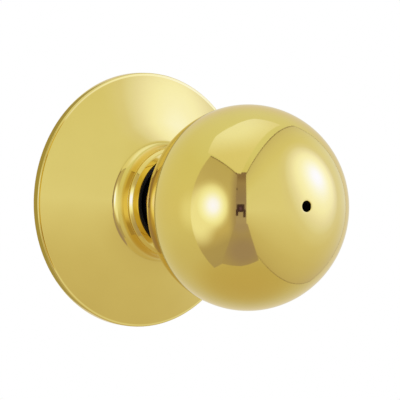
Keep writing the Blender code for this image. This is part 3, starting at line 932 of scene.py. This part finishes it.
card("card_lens", -2.4, 1.30, -0.075, 0.075, -0.035, 0.110, camera_card)
card("card_leg_left", -6.2, 1.31, -0.030, 0.020, -0.105, 0.020, camera_card)
card("card_leg_right", 1.6, 1.31, -0.020, 0.028, -0.130, 0.020, camera_card)
card("card_head", -7.5, 1.29, -0.018, 0.018, 0.385, 0.435, camera_card)


def patch(name, corners, distance, build):
    """A flat-edged panel through directions given as (azimuth, elevation)."""
    bm = bmesh.new()
    bm.faces.new([bm.verts.new(BALL + towards(a, e) * distance) for a, e in corners])
    mesh = bpy.data.meshes.new(name)
    bm.to_mesh(mesh)
    bm.free()
    obj = bpy.data.objects.new(name, mesh)
    scene.collection.objects.link(obj)
    mat, nodes, links, emit = emission_material(name)
    here = nodes.new("ShaderNodeNewGeometry").outputs["Position"]
    away = nodes.new("ShaderNodeVectorMath")
    away.operation = "SUBTRACT"
    links.new(here, away.inputs[0])
    away.inputs[1].default_value = BALL
    unit = nodes.new("ShaderNodeVectorMath")
    unit.operation = "NORMALIZE"
    links.new(away.outputs[0], unit.inputs[0])
    links.new(build(nodes, links, unit.outputs[0]), emit.inputs["Color"])
    emit.inputs["Strength"].default_value = LEVEL
    mesh.materials.append(mat)
    obj.visible_camera = False
    return obj


def nearness(nodes, links, direction, azimuth, elevation, inner, outer):
    """1 within the inner angle of a direction, 0 beyond the outer one."""
    dot = nodes.new("ShaderNodeVectorMath")
    dot.operation = "DOT_PRODUCT"
    links.new(direction, dot.inputs[0])
    dot.inputs[1].default_value = towards(azimuth, elevation)
    angle = math_node(nodes, links, "ARCCOSINE", dot.outputs["Value"])
    return smooth(nodes, links, angle, math.radians(outer), math.radians(inner))


# overhead: the pale ceiling panel between the cards
def ceiling(nodes, links, direction):
    near = nearness(nodes, links, direction, -150.0, 76.0, 8.0, 42.0)
    return mix(nodes, links, near, (1.20, 1.27, 1.33), (1.42, 1.64, 2.5))


patch("card_ceiling", [(-73.6, 54.7), (-3.9, 36.8), (142.0, 53.0), (168.6, 60.8),
                       (-150.0, 72.0), (-108.0, 66.0)], 2.0, ceiling)


# below: the shaded foot of the slot
def foot(nodes, links, direction):
    near = nearness(nodes, links, direction, 0.0, -44.0, 6.0, 26.0)
    low = mix(nodes, links, near, (0.66, 0.59, 0.62), (0.56, 0.48, 0.72))
    high = nearness(nodes, links, direction, -2.0, -14.0, 4.0, 16.0)
    return mix(nodes, links, high, low, (0.63, 0.56, 0.82))


patch("card_foot", [(-8.0, -14.0), (5.0, -14.0), (24.5, -53.1), (10.0, -59.0),
                    (-4.0, -61.5), (-22.0, -60.5), (-39.0, -56.6)], 0.40, foot)


def room_colour(nodes, links, direction):
    """The room by elevation, a little brighter beside the left window."""
    split = nodes.new("ShaderNodeSeparateXYZ")
    links.new(direction, split.inputs[0])
    colour = along(nodes, links, split.outputs["Z"], -1.0, 1.0, [
        (-1.0, (0.86, 0.77, 0.58)), (-0.90, (0.87, 0.80, 0.62)), (-0.72, (0.94, 0.93, 0.86)),
        (-0.30, (1.04, 1.07, 1.00)), (0.0, (1.10, 1.13, 1.05)), (0.66, (1.10, 1.17, 1.04)),
        (0.90, (1.13, 1.25, 1.26)), (1.0, (1.16, 1.30, 1.36))])
    near = nearness(nodes, links, direction, -63.0, -2.0, 3.0, 24.0)
    colour = mix(nodes, links, near, colour, (1.27, 1.38, 1.55))
    rear = nearness(nodes, links, direction, 178.0, 0.0, 18.0, 48.0)
    return mix(nodes, links, rear, colour, (1.08, 1.02, 0.84))


# a low reflector that hides the floor from the brass
def ground(nodes, links, direction):
    return room_colour(nodes, links, direction)


patch("card_ground", [(-36.0, -14.0), (54.0, -14.0), (144.0, -14.0), (-126.0, -14.0)],
      3.72, ground)


# a thin flag just behind the rose's edge
def flag(nodes, links, direction):
    return mix(nodes, links, nearness(nodes, links, direction, 180.0, 0.0, 5.0, 60.0),
               (0.60, 0.55, 0.30), (0.50, 0.46, 0.24))


bm = bmesh.new()
inner_edge, outer_edge = [], []
for i in range(96):
    a = 2.0 * math.pi * i / 96
    inner_edge.append(bm.verts.new(place(34.4, a, -2.0)))
    outer_edge.append(bm.verts.new(place(37.0, a, -2.0)))
for i in range(96):
    j = (i + 1) % 96
    bm.faces.new((inner_edge[i], inner_edge[j], outer_edge[j], outer_edge[i]))
mesh = bpy.data.meshes.new("card_flag")
bm.to_mesh(mesh)
bm.free()
flag_ring = bpy.data.objects.new("card_flag", mesh)
scene.collection.objects.link(flag_ring)
mat, nodes, links, emit = emission_material("card_flag")
links.new(flag(nodes, links, nodes.new("ShaderNodeNewGeometry").outputs["Normal"]),
          emit.inputs["Color"])
emit.inputs["Strength"].default_value = LEVEL
mesh.materials.append(mat)
flag_ring.visible_camera = False

# floor, far enough below to stay out of the main view
bm = bmesh.new()
bmesh.ops.create_grid(bm, x_segments=8, y_segments=8, size=2.2)
mesh = bpy.data.meshes.new("floor")
bm.to_mesh(mesh)
bm.free()
floor = bpy.data.objects.new("floor", mesh)
scene.collection.objects.link(floor)
floor.location = (BALL.x, BALL.y, BALL.z - 1.1)
mat, nodes, links, shader = new_material("floor_white")
coord = nodes.new("ShaderNodeTexCoord").outputs["Object"]
links.new(ramp(nodes, links, noise(nodes, links, coord, 3.0), [
    (0.3, (0.86, 0.86, 0.85)), (0.7, (0.90, 0.90, 0.89))]), shader.inputs["Base Color"])
shader.inputs["Roughness"].default_value = 0.8
mesh.materials.append(mat)

# world: a white room, brighter overhead and behind the object
world = bpy.data.worlds.new("studio")
scene.world = world
world.use_nodes = True
nodes, links = world.node_tree.nodes, world.node_tree.links
nodes.clear()
out = nodes.new("ShaderNodeOutputWorld")
room = nodes.new("ShaderNodeBackground")
white = nodes.new("ShaderNodeBackground")
white.inputs["Color"].default_value = (1.0, 1.0, 1.0, 1.0)
white.inputs["Strength"].default_value = 1.0
coord = nodes.new("ShaderNodeTexCoord").outputs["Generated"]
links.new(room_colour(nodes, links, coord), room.inputs["Color"])
room.inputs["Strength"].default_value = LEVEL
path = nodes.new("ShaderNodeLightPath")
both = nodes.new("ShaderNodeMixShader")
links.new(path.outputs["Is Camera Ray"], both.inputs["Fac"])
links.new(room.outputs[0], both.inputs[1])
links.new(white.outputs[0], both.inputs[2])
links.new(both.outputs[0], out.inputs["Surface"])

scene.view_settings.view_transform = "Standard"
scene.view_settings.look = "None"
scene.view_settings.exposure = 0.0
scene.view_settings.gamma = 1.0

low, high = CAD_BOX
